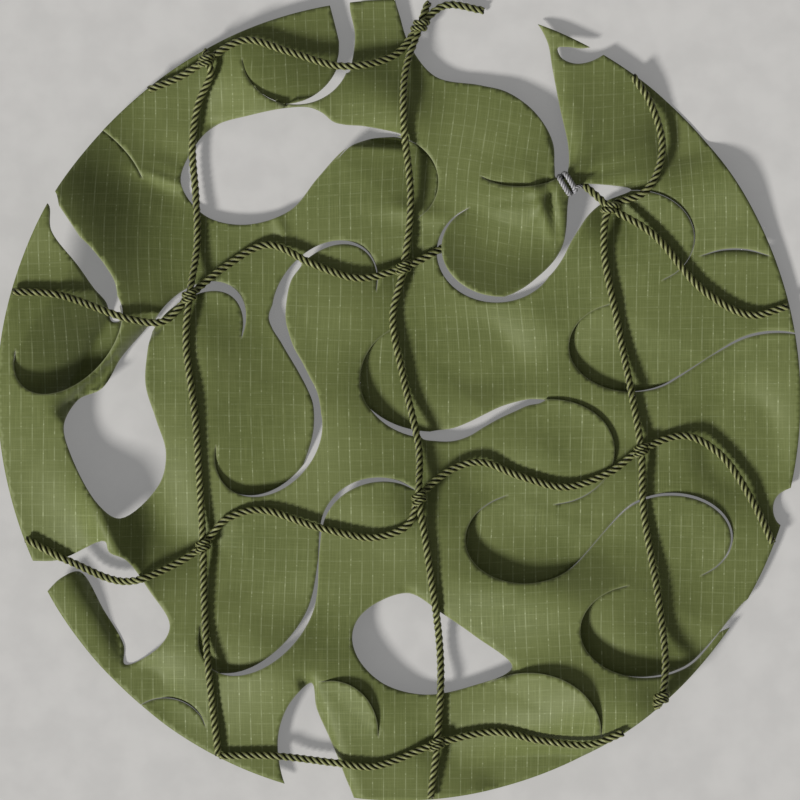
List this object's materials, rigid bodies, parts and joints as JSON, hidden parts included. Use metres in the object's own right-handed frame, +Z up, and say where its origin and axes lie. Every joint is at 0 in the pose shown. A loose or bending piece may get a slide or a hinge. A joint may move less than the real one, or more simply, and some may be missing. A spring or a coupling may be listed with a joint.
{
  "type": "shade netting",
  "caption": "Round cut of shade netting: die-cut ripstop cloth with curved leaf flaps, lying under a knotted square net of twisted cord; it throws broken shade and screens what is below.",
  "frame": {"origin": "middle of the round cut's bounding box, on the plane it lies on", "axes": "+Z up out of the lying cloth, +Y the picture's upward direction, +X the picture's right"},
  "size_m": [0.336, 0.336, 0.0306],
  "materials": {
    "cloth": "woven olive ripstop, faint sheen",
    "cord": "twisted olive cord, satin strands",
    "thread": "grey thread, satin"
  },
  "bodies": {
    "root": {"cloth": "cloth", "net": "cord", "tie": "thread"}
  },
  "joints": []
}
